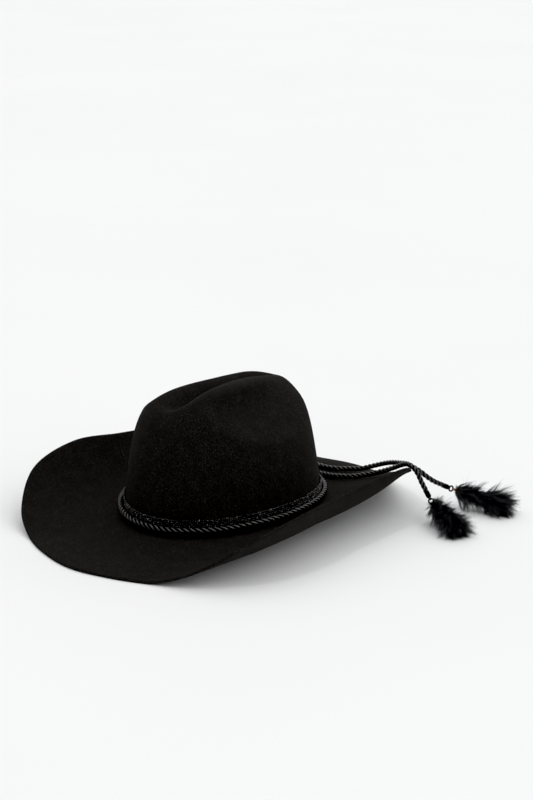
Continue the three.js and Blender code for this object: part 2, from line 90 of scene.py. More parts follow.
# The brim's middle surface every 15 degrees from the front to the back: shares of
# half its width, half its length and ROLL_HEIGHT (lift_far is the lift on the -X
# side), the slope next to the crown and how late the felt turns up.
BRIM_SECTIONS = {
    "across": [0, .255, .506, .763, .956, 1, .951, .929, .894, .734, .494, .256, 0],
    "along": [1, .965, .890, .774, .560, .271, 0, -.252, -.523, -.733, -.880, -.968, -1],
    "lift": [.02, .01, .02, .29, .74, .95, .94, .97, .94, .64, .32, .07, .02],
    "lift_far": [.02, .01, .02, .29, .74, .95, .90, .83, .73, .50, .17, .01, .02],
    "slope": [-.20, -.20, -.20, -.19, -.17, -.12, -.07, 0, .10, .15, .12, .07, .05],
    "power": [2.6, 2.6, 2.6, 2.6, 2.7, 2.8, 3.0, 3.5, 3.7, 2.6, 2.2, 2.8, 3.4],
}
SEAM_LEAN, SEAM_FALL = -0.12, -0.16
NARROW_FRONT, NARROW_BACK, NARROW_SIDE, NARROW_POWER = 0.91, 0.88, 0.87, 1.4
CORNER_FRONT, CORNER_BACK, CORNER_SIDE = 0.52, 0.33, 0.51
TOP_TILT, TOP_BOW, TOP_TWIST = -0.048, -0.001, -0.031
LEAN_TILT, LEAN_BOW = -0.60, -0.84
CREASE_FRONT, CREASE_FRONT_RUN = -0.926, 0.346
CREASE_BACK, CREASE_BACK_RUN = 0.782, 0.484
CREASE_NARROW_FROM, CREASE_NARROW_TO = -0.68, 0.19
DENT_ALONG, DENT_UP, DENT_INNER, DENT_POWER = 0.078, 0.87, 0.46, 1.05
SHOULDER_TURN = 0.36
REST_SOFTNESS = 0.001

# Middle lines of the tails, as in the CAD model
TAIL_ROUTES = {
    "right": [
        (-0.0065, 0.1218, 0.021), (-0.0065, 0.125, 0.0207), (-0.0052, 0.13, 0.0203),
        (-0.002, 0.134, 0.02), (0.0028, 0.1364, 0.0198), (0.0085, 0.1374, 0.0196),
        (0.015, 0.1379, 0.0196), (0.025, 0.1407, 0.0198), (0.037, 0.148, 0.0204),
        (0.05, 0.153, 0.0225), (0.065, 0.1565, 0.0283), (0.078, 0.157, 0.0336),
        (0.091, 0.154, 0.0382), (0.104, 0.15, 0.0416), (0.116, 0.146, 0.0442),
        (0.126, 0.1438, 0.0438), (0.1345, 0.1444, 0.041), (0.141, 0.148, 0.0356),
        (0.1455, 0.1545, 0.03), (0.1487, 0.1646, 0.0243),
    ],
    "left": [
        (0.0078, 0.1176, 0.02), (0.014, 0.1182, 0.0196), (0.023, 0.1185, 0.0196),
        (0.036, 0.119, 0.0203), (0.05, 0.12, 0.0222), (0.061, 0.1235, 0.0236),
        (0.07, 0.13, 0.0252), (0.082, 0.136, 0.029), (0.095, 0.138, 0.0345),
        (0.107, 0.1375, 0.0404), (0.118, 0.1357, 0.0462), (0.128, 0.133, 0.0498),
        (0.1364, 0.131, 0.0488), (0.1428, 0.1305, 0.044), (0.147, 0.131, 0.0365),
        (0.1528, 0.132, 0.0272),
    ],
}
TASSEL_AIMS = {"right": (17, 9), "left": (-25, 9)}

# Camera, at the photo's angle to the hat
CAMERA_PLACE = (1.26069, -1.27963, 0.64755)
CAMERA_RIGHT = (0.729, 0.6846, 0)
CAMERA_UP = (-0.1932, 0.2057, 0.9594)
CAMERA_BACK = (0.6568, -0.6993, 0.2822)
CAMERA_LENS = 85.5


def make_camera():
    data = bpy.data.cameras.new("camera")
    data.lens = CAMERA_LENS
    data.clip_start, data.clip_end = 0.05, 50
    camera = bpy.data.objects.new("camera", data)
    bpy.context.scene.collection.objects.link(camera)
    axes = Matrix((CAMERA_RIGHT, CAMERA_UP, CAMERA_BACK)).transposed().to_4x4()
    camera.matrix_world = Matrix.Translation(CAMERA_PLACE) @ axes
    bpy.context.scene.camera = camera


make_camera()


# Materials

class Nodes:
    """A new material with a Principled shader, and short ways to add nodes to it."""

    def __init__(self, name, **sockets):
        self.material = bpy.data.materials.new(name)
        self.material.use_nodes = True
        self.tree = self.material.node_tree
        self.shader = self.tree.nodes["Principled BSDF"]
        for socket, value in sockets.items():
            self.shader.inputs[socket.replace("_", " ")].default_value = value

    def add(self, kind, **settings):
        node = self.tree.nodes.new(kind)
        for key, value in settings.items():
            if hasattr(node, key):
                setattr(node, key, value)
            else:
                node.inputs[key.replace("_", " ")].default_value = value
        return node

    def link(self, source, target):
        self.tree.links.new(source, target)

    def noise(self, scale, detail=3.0, roughness=0.6):
        node = self.add("ShaderNodeTexNoise", Scale=scale, Detail=detail, Roughness=roughness)
        self.link(self.add("ShaderNodeTexCoord").outputs["Object"], node.inputs["Vector"])
        return node.outputs["Fac"]

    def ramp(self, fac, stops):
        node = self.add("ShaderNodeValToRGB")
        ramp = node.color_ramp
        while len(ramp.elements) < len(stops):
            ramp.elements.new(0.5)
        for element, (position, color) in zip(ramp.elements, stops):
            element.position = position
            element.color = (*color, 1)
        self.link(fac, node.inputs["Fac"])
        return node.outputs["Color"]

    def maths(self, operation, a, b):
        node = self.add("ShaderNodeMath", operation=operation)
        for socket, value in zip(node.inputs, (a, b)):
            if isinstance(value, (int, float)):
                socket.default_value = value
            else:
                self.link(value, socket)
        return node.outputs[0]

    def bump(self, height, distance, strength=1.0):
        node = self.add("ShaderNodeBump", Strength=strength, Distance=distance)
        self.link(height, node.inputs["Height"])
        last = self.shader.inputs["Normal"]
        if last.is_linked:
            self.link(last.links[0].from_socket, node.inputs["Normal"])
        self.link(node.outputs["Normal"], last)


def grey(level, warm=0.0):
    return (level * (1 + warm), level, level * (1 - warm))


def felt_material():
    nodes = Nodes("felt", Roughness=0.95, Specular_IOR_Level=0.06)
    nodes.shader.inputs["Sheen Weight"].default_value = 0.017
    nodes.shader.inputs["Sheen Roughness"].default_value = 0.35
    nodes.shader.inputs["Sheen Tint"].default_value = (0.80, 0.78, 0.70, 1)
    grain = nodes.noise(900, detail=5, roughness=0.75)
    clouds = nodes.noise(90, detail=5, roughness=0.55)
    mostly_grain = nodes.maths("MULTIPLY", grain, 0.9)
    blend = nodes.maths("ADD", mostly_grain, nodes.maths("MULTIPLY", clouds, 0.1))
    stops = [
        (0.38, grey(0.0038, 0.04)),
        (0.50, grey(0.0080, 0.08)),
        (0.62, grey(0.020, 0.08)),
        (0.69, grey(0.085, 0.05)),
    ]
    nodes.link(nodes.ramp(blend, stops), nodes.shader.inputs["Base Color"])
    nodes.bump(clouds, 0.0002, 0.5)
    nodes.bump(grain, 0.0005, 0.9)
    return nodes.material


def bead_material():
    """Black glass whose colour holds a few small bright specks, painted glints of light on the facets."""
    nodes = Nodes("beads", Specular_IOR_Level=0.28)
    # Painted glints: bright specks in the base colour stand in for light caught by the facets.
    painted_glints = [(0.60, grey(0.003)), (0.66, grey(0.003)), (0.70, grey(0.30))]
    nodes.link(nodes.ramp(nodes.noise(620, detail=1), painted_glints), nodes.shader.inputs["Base Color"])
    rough = nodes.ramp(nodes.noise(700), [(0.4, (0.10,) * 3), (0.7, (0.24,) * 3)])
    nodes.link(rough, nodes.shader.inputs["Roughness"])
    return nodes.material


YARN_TURNS = 5.0
YARN_LAY_PER_METRE = 160.0


def rope_material():
    """Satin yarn with painted shade: darker between its fine strands, and black with a weaker reflection
    in the valleys between plies. U is how far out a point lies in the rope, V the way along a ply in
    metres.
    """
    nodes = Nodes("rope_yarn", Roughness=0.27)
    split = nodes.add("ShaderNodeSeparateXYZ")
    nodes.link(nodes.add("ShaderNodeTexCoord").outputs["UV"], split.inputs[0])
    turn = nodes.maths("MULTIPLY", split.outputs["X"], YARN_TURNS)
    run = nodes.maths("MULTIPLY", split.outputs["Y"], YARN_LAY_PER_METRE)
    wobble = nodes.maths("MULTIPLY", nodes.noise(900, detail=2), 0.9)
    phase = nodes.maths("ADD", nodes.maths("ADD", turn, run), wobble)
    wave = nodes.maths("SINE", nodes.maths("MULTIPLY", phase, 2 * math.pi), 0)
    height = nodes.maths("MULTIPLY_ADD", wave, 0.5)
    # Painted shade: colour and reflection fall to black towards the rope's middle, in the valleys between
    # plies.
    painted_valley_shade = nodes.ramp(split.outputs["X"], [(0.66, grey(0.0)), (0.86, grey(0.16)), (0.98, grey(1.0))])
    painted_strand_shade = nodes.maths("MULTIPLY", height, painted_valley_shade)
    # Painted shade: the colour is dark in the grooves between strands and lighter on their crests.
    stops = [(0.0, grey(0.0002)), (0.40, grey(0.0030, 0.08)), (1.0, grey(0.0380, 0.14))]
    nodes.link(nodes.ramp(painted_strand_shade, stops), nodes.shader.inputs["Base Color"])
    nodes.link(nodes.maths("MULTIPLY", painted_valley_shade, 0.75), nodes.shader.inputs["Specular IOR Level"])
    nodes.bump(height, 0.00012, 0.8)
    return nodes.material


def metal_material():
    nodes = Nodes("ring_metal", Base_Color=(0.012, 0.012, 0.013, 1), Metallic=1.0)
    rough = nodes.ramp(nodes.noise(1200), [(0.35, (0.24,) * 3), (0.7, (0.46,) * 3)])
    nodes.link(rough, nodes.shader.inputs["Roughness"])
    return nodes.material


def hide_material(name, dark, light):
    nodes = Nodes(name, Roughness=0.7)
    fac = nodes.noise(600, detail=5)
    nodes.link(nodes.ramp(fac, [(0.35, dark), (0.65, light)]), nodes.shader.inputs["Base Color"])
    nodes.bump(nodes.noise(1500), 0.0003, 0.8)
    return nodes.material


def fur_material():
    nodes = Nodes("fur", Roughness=0.45, Specular_IOR_Level=0.5)
    tone = nodes.noise(260, detail=3)
    stops = [(0.35, (0.004, 0.0042, 0.006)), (0.7, (0.012, 0.0125, 0.016))]
    nodes.link(nodes.ramp(tone, stops), nodes.shader.inputs["Base Color"])
    return nodes.material


FELT = felt_material()
BEADS = bead_material()
ROPE = rope_material()
METAL = metal_material()
HIDE_TAN = hide_material("hide_tan", (0.10, 0.028, 0.008), (0.34, 0.11, 0.03))
HIDE_PALE = hide_material("hide_pale", (0.07, 0.06, 0.048), (0.30, 0.27, 0.22))
FUR = fur_material()


# Meshes

def make_piece(name, points, faces, material, node=None, uv=None, flat=False):
    """Mesh object that rides on the hat. faces is a list of arrays of corner numbers."""
    mesh = bpy.data.meshes.new(name)
    polygons = [face for group in faces for face in np.asarray(group).tolist()]
    mesh.from_pydata(np.asarray(points).tolist(), [], polygons)
    mesh.polygons.foreach_set("use_smooth", [not flat] * len(polygons))
    if uv is not None:
        corners = np.empty(len(mesh.loops), np.int32)
        mesh.loops.foreach_get("vertex_index", corners)
        layer = mesh.uv_layers.new(name="UVMap")
        layer.data.foreach_set("uv", np.asarray(uv, np.float32)[corners].ravel())
    mesh.materials.append(material)
    mesh.update()
    piece = bpy.data.objects.new(name, mesh)
    bpy.context.scene.collection.objects.link(piece)
    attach(piece, "root")
    if node:
        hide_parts(node)
    return piece


def quads_of(corners):
    return np.stack(np.broadcast_arrays(*corners), -1).reshape(-1, 4)


def grid_faces(columns, rows):
    """Quads of a closed grid whose point (column, row) has the number column * rows + row."""
    column = np.arange(columns)[:, None]
    row = np.arange(rows - 1)[None, :]
    here, turned = column * rows + row, (column + 1) % columns * rows + row
    return quads_of([here, turned, turned + 1, here + 1])


def unit(vectors):
    return vectors / np.maximum(np.linalg.norm(vectors, axis=-1, keepdims=True), 1e-12)


def smooth(share):
    x = np.clip(share, 0, 1)
    return x * x * (3 - 2 * x)


def mix(a, b, share):
    return a + (b - a) * share


# Shape of the felt. Angles run from the front (0) over +X to the back (pi).

def brim_column(name, angle, odd=False, far=None):
    values = np.array(BRIM_SECTIONS[name], float)
    far_values = np.array(BRIM_SECTIONS[far or name], float) * (-1 if odd else 1)
    last = len(values) - 1
    place = angle / np.pi * last
    row = np.floor(place).astype(int)

    def at(index):
        turned = index % (2 * last)
        mirrored = turned > last
        row = np.where(mirrored, 2 * last - turned, turned)
        return np.where(mirrored, far_values[row], values[row])

    p0, p1, p2, p3 = at(row - 1), at(row), at(row + 1), at(row + 2)
    x = place - row
    bend = 2 * p0 - 5 * p1 + 4 * p2 - p3
    swing = 3 * p1 - p0 - 3 * p2 + p3
    return p1 + 0.5 * x * (p2 - p0 + x * (bend + x * swing))


def stacked(x, y, z):
    return np.stack(np.broadcast_arrays(x, y, z), -1)


def seam_point(angle):
    share = 1 + SEAM_LEAN * np.cos(angle) + SEAM_FALL * np.cos(2 * angle)
    height = SEAM_HEIGHT * share + BRIM_FELT / 2
    return stacked(CROWN_WIDTH / 2 * np.sin(angle), -CROWN_LENGTH / 2 * np.cos(angle), height)


def brim_edge(angle):
    across = BRIM_WIDTH / 2 * brim_column("across", angle, True)
    along = -BRIM_LENGTH / 2 * brim_column("along", angle)
    lift = brim_column("lift", angle, far="lift_far")
    return stacked(across, along, ROLL_HEIGHT * lift + BRIM_FELT / 2)


def brim_point(angle, share):
    seam, edge = seam_point(angle), brim_edge(angle)
    reach = np.hypot(edge[..., 0] - seam[..., 0], edge[..., 1] - seam[..., 1])
    rise = brim_column("slope", angle) * reach
    point = mix(seam, edge, share[..., None])
    turn = share ** brim_column("power", angle)
    z = seam[..., 2] + rise * share + (edge[..., 2] - seam[..., 2] - rise) * turn
    over = z - BRIM_FELT
    point[..., 2] = BRIM_FELT + (over + np.sqrt(over ** 2 + REST_SOFTNESS ** 2)) / 2
    return point


def dome_corner(angle):
    forward = np.cos(angle)
    end = np.where(forward > 0, CORNER_FRONT, CORNER_BACK)
    return end * forward ** 2 + CORNER_SIDE * np.sin(angle) ** 2


def top_height(y):
    along = y / (CROWN_LENGTH / 2)
    return CROWN_HEIGHT * (1 + along * (TOP_TILT + along * (TOP_BOW + along * TOP_TWIST)))


def crease_share(x, y):
    along = y / (CROWN_LENGTH / 2)
    opened = smooth((along - CREASE_FRONT) / CREASE_FRONT_RUN)
    closed = smooth((CREASE_BACK - along) / CREASE_BACK_RUN)
    narrowed = smooth((along - CREASE_NARROW_FROM) / (CREASE_NARROW_TO - CREASE_NARROW_FROM))
    half_width = mix(CREASE_HALF_WIDTH_FRONT, CREASE_HALF_WIDTH_BACK, narrowed)
    return opened * closed / (1 + (x / half_width) ** 2) ** 1.5


def dent_push(x, y, z):
    along = (y - DENT_ALONG * CROWN_LENGTH / 2) / DENT_HALF_LENGTH
    above = z - DENT_UP * CROWN_HEIGHT
    up = above / np.where(above > 0, DENT_REACH_UP, DENT_REACH_DOWN)
    bowl = np.maximum(1 - along ** 2 - up ** 2, 0) ** DENT_POWER
    return DENT_DEPTH * bowl * np.minimum(np.abs(x) / (DENT_INNER * CROWN_WIDTH / 2), 1)


def outward(angle):
    x = np.sin(angle) / (CROWN_WIDTH / 2)
    y = -np.cos(angle) / (CROWN_LENGTH / 2)
    return unit(stacked(x, y, 0.0))


def dome_point(angle, out, up):
    narrow_end = np.where(np.cos(angle) > 0, NARROW_FRONT, NARROW_BACK)
    narrowed = up ** NARROW_POWER
    seam = seam_point(angle)
    height = up * (CROWN_HEIGHT - seam[..., 2]) / CROWN_SWELL_HEIGHT
    away = outward(angle) * (out * CROWN_SWELL * height * np.exp(1 - height))[..., None]
    x = seam[..., 0] * out * mix(1, NARROW_SIDE, narrowed) + away[..., 0]
    y = seam[..., 1] * out * mix(1, narrow_end, narrowed) + away[..., 1]
    along = y / (CROWN_LENGTH / 2)
    lean = CROWN_LEAN * x / (CROWN_WIDTH / 2) * (1 + along * (LEAN_TILT + along * LEAN_BOW))
    z = mix(seam[..., 2], top_height(y), up)
    z = z + (lean - CREASE_DEPTH * crease_share(x, y)) * up ** 3
    return stacked(x - np.sign(x) * dent_push(x, y, z), y, z)


def crown_point(angle, turn):
    corner = dome_corner(angle)
    c, s = np.cos(turn * np.pi / 2), np.sin(turn * np.pi / 2)
    radius = (np.abs(c) ** (2 / corner) + s ** (2 / corner)) ** (-corner / 2)
    return dome_point(angle, radius * c, radius * s)


def wall_rise(angle, height):
    seam = seam_point(angle)
    return height / (top_height(seam[..., 1]) - seam[..., 2])


def side_point(angle, up):
    corner = dome_corner(angle)
    return dome_point(angle, (1 - up ** (2 / corner)) ** (corner / 2), up)


def wall_point(angle, height):
    return side_point(angle, wall_rise(angle, height))


# Felt body

FELT_COLUMNS = 360
BRIM_ROWS, SEAM_ROWS, WALL_ROWS, TOP_ROWS = 42, 8, 22, 46
EDGE_ROWS = 5
EDGE_BULGE = 0.0005


def felt_top():
    """Top skin as a grid of columns round the hat and rows from the brim's edge to the crown's top."""
    angle = np.arange(FELT_COLUMNS)[:, None] / FELT_COLUMNS * 2 * np.pi
    seam, edge = seam_point(angle), brim_point(angle, np.ones_like(angle))
    foot = SEAM_RADIUS / np.linalg.norm((edge - seam)[..., :2], axis=-1)
    run = np.linspace(0, 1, BRIM_ROWS)[None, :]
    brim = brim_point(angle, 1 + (foot - 1) * run)
    low, high = brim[:, -1:], wall_point(angle, SEAM_RADIUS * np.ones_like(angle))
    t = (np.arange(1, SEAM_ROWS) / SEAM_ROWS)[None, :, None]
    rounding = (1 - t) ** 2 * low + 2 * t * (1 - t) * seam + t ** 2 * high
    corner = dome_corner(angle)
    c, s = np.cos(SHOULDER_TURN * np.pi / 2), np.sin(SHOULDER_TURN * np.pi / 2)
    shoulder = s * (c ** (2 / corner) + s ** (2 / corner)) ** (-corner / 2)
    ups = mix(wall_rise(angle, SEAM_RADIUS), shoulder, np.linspace(0, 1, WALL_ROWS)[None, :])
    wall = side_point(angle, ups)
    turns = mix(SHOULDER_TURN, 1, np.linspace(0, 1, TOP_ROWS + 1)[None, 1:])
    top = crown_point(angle, turns)
    return np.concatenate([brim, rounding, wall, top], 1)


def grid_normals(grid):
    around = np.roll(grid, -1, 0) - np.roll(grid, 1, 0)
    along = np.empty_like(grid)
    along[:, 1:-1] = grid[:, 2:] - grid[:, :-2]
    along[:, 0] = grid[:, 1] - grid[:, 0]
    along[:, -1] = grid[:, -1] - grid[:, -2]
    normals = unit(np.cross(around, along))
    normals[:, -1] = (0, 0, 1)
    return normals


def make_felt():
    top = felt_top()
    columns, rows = top.shape[:2]
    row = np.arange(rows)
    felt = mix(BRIM_FELT, CROWN_FELT, smooth((row - BRIM_ROWS) / SEAM_ROWS))
    under = top - grid_normals(top) * felt[None, :, None]
    brim_end = BRIM_ROWS + SEAM_ROWS
    under[:, :brim_end, 2] = np.maximum(under[:, :brim_end, 2], 0)
    away = unit(top[:, 0] - top[:, 1])[:, None]
    share = (np.arange(1, EDGE_ROWS + 1) / (EDGE_ROWS + 1))[None, :, None]
    bulge = EDGE_BULGE * (1 - np.abs(2 * share - 1) ** 4)
    edge = mix(top[:, :1], under[:, :1], share) + away * bulge
    edge[..., 2] = np.maximum(edge[..., 2], 0)
    # One closed strip per column: top skin down to the edge, round it and up under the crown.
    strip = np.concatenate([top[:, -2::-1], edge, under[:, :-1]], 1)
    count = strip.shape[1]
    points = np.concatenate([strip.reshape(-1, 3), top[:1, -1], under[:1, -1]])
    column = np.arange(columns)
    turned = (column + 1) % columns
    top_pole, under_pole = columns * count, columns * count + 1
    top_fan = np.stack([column * count, np.full(columns, top_pole), turned * count], -1)
    last = count - 1
    under_fan = np.stack([turned * count + last, np.full(columns, under_pole), column * count + last], -1)
    quads = grid_faces(columns, count)[:, ::-1]
    faces = [quads, top_fan[:, ::-1], under_fan[:, ::-1]]
    make_piece("felt_hat", points, faces, FELT, "felt_body")


# Ropes

def centripetal(points, samples):
    """Points at equal steps along a centripetal Catmull-Rom curve through the given ones."""
    knots = np.array(points, float)
    ends = np.array([2 * knots[0] - knots[1], 2 * knots[-1] - knots[-2]])
    knots = np.concatenate([ends[:1], knots, ends[1:]])
    fine = []
    for p0, p1, p2, p3 in zip(knots, knots[1:], knots[2:], knots[3:]):
        d0, d1, d2 = (math.sqrt(np.linalg.norm(b - a)) for a, b in ((p0, p1), (p1, p2), (p2, p3)))
        m1 = ((p1 - p0) / d0 - (p2 - p0) / (d0 + d1) + (p2 - p1) / d1) * d1
        m2 = ((p2 - p1) / d1 - (p3 - p1) / (d1 + d2) + (p3 - p2) / d2) * d1
        t = np.linspace(0, 1, 24, endpoint=False)[:, None]
        bend = -3 * p1 + 3 * p2 - 2 * m1 - m2
        fine.append(p1 + m1 * t + bend * t ** 2 + (2 * p1 - 2 * p2 + m1 + m2) * t ** 3)
    fine = np.concatenate([*fine, knots[-2:-1]])
    return resampled(fine, samples)


def way_along(line):
    """Length of a line up to each of its points."""
    return np.concatenate([[0], np.cumsum(np.linalg.norm(np.diff(line, axis=0), axis=1))])


def resampled(line, samples):
    run = way_along(line)
    at = np.linspace(0, run[-1], samples)
    return np.stack([np.interp(at, run, line[:, axis]) for axis in range(3)], -1)


def frames_along(line):
    """Tangents and two side vectors that don't twist, for each point of a line."""
    tangents = unit(np.gradient(line, axis=0))
    side = np.cross(tangents[0], (0.1, 0.3, 1.0))
    sides = []
    for tangent in tangents:
        side = side - tangent * np.dot(side, tangent)
        side = side / np.linalg.norm(side)
        sides.append(side)
    sides = np.array(sides)
    return tangents, sides, np.cross(tangents, sides)


def tube(line, radii, sides):
    """Points, faces and UVs of a closed round tube. radii is one number or one for each point."""
    _, a, b = frames_along(line)
    angle = np.arange(sides) / sides * 2 * np.pi
    radii = np.broadcast_to(radii, len(line))[:, None, None]
    ring = np.cos(angle)[None, :, None] * a[:, None] + np.sin(angle)[None, :, None] * b[:, None]
    points = (line[:, None] + ring * radii).reshape(-1, 3)
    points = np.concatenate([points, line[:1], line[-1:]])
    run = way_along(line)
    uv = np.stack([share_round(sides, len(line)), np.repeat(run, sides)], -1)
    uv = np.concatenate([uv, [[0, 0], [0, run[-1]]]])
    return points, [grid_faces_along(len(line), sides), end_fans(len(line), sides)], uv


def grid_faces_along(steps, sides):
    step = np.arange(steps - 1)[:, None]
    side = np.arange(sides)[None, :]
    here, turned = step * sides + side, step * sides + (side + 1) % sides
    return quads_of([here, turned, turned + sides, here + sides])


def end_fans(steps, sides):
    """Triangles that close both ends of a tube, whose end points follow its last ring."""
    side = np.arange(sides)
    turned = (side + 1) % sides
    base, first, last = (steps - 1) * sides, steps * sides, steps * sides + 1
    return np.concatenate([
        np.stack([turned, side, np.full(sides, first)], -1),
        np.stack([base + side, base + turned, np.full(sides, last)], -1),
    ])


def share_round(sides, steps):
    return np.tile(np.abs(np.arange(sides) / sides * 2 - 1), steps)


def together(parts):
    """One set of points, faces and UVs from several."""
    points, faces, uvs, count = [], [], [], 0
    for part_points, part_faces, part_uv in parts:
        points.append(part_points)
        faces += [np.asarray(group) + count for group in part_faces]
        uvs.append(part_uv)
        count += len(part_points)
    return np.concatenate(points), faces, np.concatenate(uvs)


PLIES = 3
PLY_SHARE = 0.225


def twisted_rope(line, diameter, lay, sides=10):
    """Plies that wind round a line, one turn in every lay. U tells how far out a point lies."""
    _, a, b = frames_along(line)
    run = way_along(line)
    ply = PLY_SHARE * diameter
    parts = []
    for number in range(PLIES):
        turn = run / lay * 2 * np.pi + number * 2 * np.pi / PLIES
        off = np.cos(turn)[:, None] * a + np.sin(turn)[:, None] * b
        points, faces, uv = tube(line + off * (diameter / 2 - ply), ply, sides)
        around = points[:len(line) * sides].reshape(len(line), sides, 3)
        reach = np.linalg.norm(around - line[:, None], axis=2) / (diameter / 2)
        uv[:len(line) * sides, 0] = reach.reshape(-1)
        parts.append((points, faces, uv))
    return together(parts)


ROPE_CENTRE_HEIGHT = ROPE_FOOT + ROPE_DIAMETER / 2
BAND_OUTSIDE = CLEARANCE * 2 + BAND_THICKNESS
ROPE_LAY = 0.0180
ROPE_STEPS = 560
ROPE_END_IN_KNOT = 0.002
TAIL_LAY = 0.0150
TAIL_STEPS = 160
TAIL_FULLNESS = 1.25
KNOT_WRAPS = 3.0
KNOT_STEPS = 200
WRAP_DIAMETER = 0.0046
WRAP_TUCK = 0.35
KNOT_CORE_RADIUS = 0.0032
KNOT_CORE_INSET = 0.0015


def rope_line():
    """Middle line of the rope round the crown, into both ends of the knot."""
    gap = math.asin((KNOT_LENGTH / 2 - ROPE_END_IN_KNOT) / (CROWN_WIDTH / 2))
    angle = np.linspace(gap - np.pi, np.pi - gap, 1200)
    away = BAND_OUTSIDE + CLEARANCE + ROPE_DIAMETER / 2
    line = wall_point(angle, ROPE_CENTRE_HEIGHT) + outward(angle) * away
    return resampled(line, ROPE_STEPS)


def make_band_rope():
    points, faces, uv = twisted_rope(rope_line(), ROPE_DIAMETER, ROPE_LAY)
    make_piece("rope_round_crown", points, faces, ROPE, "band_rope", uv)


def knot_centre():
    wall = wall_point(np.array(np.pi), ROPE_CENTRE_HEIGHT)
    away = BAND_OUTSIDE + CLEARANCE + KNOT_DIAMETER / 2
    return np.array([0, wall[1] + away, wall[2] + KNOT_LIFT])


def make_knot():
    """Wraps of thin rope round the ends of the thick one, with tucked-in ends."""
    turn = np.linspace(-WRAP_TUCK, KNOT_WRAPS + WRAP_TUCK, 260)
    tuck = smooth(np.minimum(turn + WRAP_TUCK, KNOT_WRAPS + WRAP_TUCK - turn) / WRAP_TUCK)
    radius = (KNOT_DIAMETER - WRAP_DIAMETER) / 2 * mix(0.45, 1, tuck)
    x = (KNOT_LENGTH - WRAP_DIAMETER) * (np.clip(turn / KNOT_WRAPS, 0, 1) - 0.5)
    angle = turn * 2 * np.pi + 0.6
    line = knot_centre() + np.stack([x, radius * np.cos(angle), radius * np.sin(angle)], -1)
    wrapped = twisted_rope(resampled(line, KNOT_STEPS), WRAP_DIAMETER, TAIL_LAY, 8)
    heart = np.linspace(-1, 1, 16)[:, None] * (KNOT_LENGTH / 2 - KNOT_CORE_INSET) * np.array([[1.0, 0, 0]])
    core = tube(knot_centre() + heart, KNOT_CORE_RADIUS, 12)
    points, faces, uv = together([wrapped, core])
    make_piece("knot_wraps", points, faces, ROPE, "rope_knot", uv)


# Bound ends, rings and tassels

def lathe(profile, origin, axes, sides=28):
    """Round body along the first of the axes from [place, radius] pairs, closed at both ends."""
    profile = np.array(profile, float)
    line = np.asarray(origin) + profile[:, :1] * axes[0]
    angle = np.arange(sides) / sides * 2 * np.pi
    ring = np.cos(angle)[:, None] * axes[1] + np.sin(angle)[:, None] * axes[2]
    points = (line[:, None] + ring[None] * profile[:, 1, None, None]).reshape(-1, 3)
    points = np.concatenate([points, line[:1], line[-1:]])
    uv = np.stack([share_round(sides, len(profile)), np.repeat(profile[:, 0], sides)], -1)
    uv = np.concatenate([uv, [[0, 0], [0, 0]]])
    return points, [grid_faces_along(len(profile), sides), end_fans(len(profile), sides)], uv


def torus(origin, axes, middle, wire, steps=48, sides=14):
    """Wire ring in the plane of the first and last of the axes."""
    around = np.arange(steps) / steps * 2 * np.pi
    across = np.arange(sides) / sides * 2 * np.pi
    radial = np.cos(around)[:, None] * axes[0] + np.sin(around)[:, None] * axes[2]
    tube_part = np.cos(across)[None, :, None] * radial[:, None] + np.sin(across)[None, :, None] * axes[1]
    points = np.asarray(origin) + radial[:, None] * middle + tube_part * wire / 2
    uv = np.stack(np.meshgrid(around / np.pi, across / np.pi, indexing="ij"), -1)
    return points.reshape(-1, 3), [torus_faces(steps, sides)], uv.reshape(-1, 2)


def torus_faces(steps, sides):
    step = np.arange(steps)[:, None]
    side = np.arange(sides)[None, :]
    here, onward = step * sides, (step + 1) % steps * sides
    next_side = (side + 1) % sides
    return quads_of([here + side, onward + side, onward + next_side, here + next_side])


def aim_of(turn, fall):
    heading, dip = math.radians(turn), math.radians(fall)
    level = math.cos(dip)
    return np.array([math.cos(heading) * level, math.sin(heading) * level, -math.sin(dip)])


def axes_along(direction, normal):
    side = unit(np.cross(normal, direction))
    return np.array([direction, side, np.cross(direction, side)])


EYE_REACH = (EYE_DIAMETER - EYE_WIRE) / 2
RING_REACH = (RING_DIAMETER - RING_WIRE) / 2
WHIPPING_STEP = 0.00055
WHIPPING_RIDGE = 0.00013
WHIPPING_ROUNDING = 0.0012
WHIPPING_ROUNDING_DEPTH = 0.0008
RING_FULLNESS = 2.1


def make_ferrule(side, start, axes):
    """Whipped end of a tail: close turns of thread, with the eye that the ring hangs in."""
    along = np.linspace(0, FERRULE_LENGTH, 96)
    ridges = WHIPPING_RIDGE * np.abs(np.sin(along / WHIPPING_STEP * np.pi))
    near_end = smooth((along - FERRULE_LENGTH + WHIPPING_ROUNDING) / WHIPPING_ROUNDING)
    radius = FERRULE_DIAMETER / 2 - WHIPPING_RIDGE + ridges - WHIPPING_ROUNDING_DEPTH * near_end
    sleeve = lathe(np.stack([along, radius], -1), start, axes)
    eye = torus(start + axes[0] * (FERRULE_LENGTH + EYE_REACH), axes, EYE_REACH, EYE_WIRE, 32, 10)
    points, faces, uv = together([sleeve, eye])
    return make_piece(f"whipping_{side}", points, faces, ROPE, f"ferrule_{side}", uv)


def make_ring(side, middle, axes):
    points, faces, uv = torus(middle, axes, RING_REACH, RING_WIRE * RING_FULLNESS, 64, 14)
    return make_piece(f"jump_ring_{side}", points, faces, METAL, f"ring_{side}", uv)


def make_head(side, origin, axes, material):
    """Bare hide at the root of a tassel, folded round its eye."""
    along = np.linspace(EYE_REACH * 0.6, EYE_REACH + HEAD_LENGTH, 40)
    share = (along - along[0]) / (along[-1] - along[0])
    radius = HEAD_DIAMETER / 2 * (0.45 + 0.55 * smooth(share / 0.35)) * (1 + 0.05 * np.sin(share * 23))
    body = lathe(np.stack([along, radius], -1), origin, axes)
    eye = torus(origin, axes, EYE_REACH, EYE_WIRE, 32, 10)
    points, faces, uv = together([body, eye])
    return make_piece(f"tassel_head_{side}", points, faces, material, uv=uv)


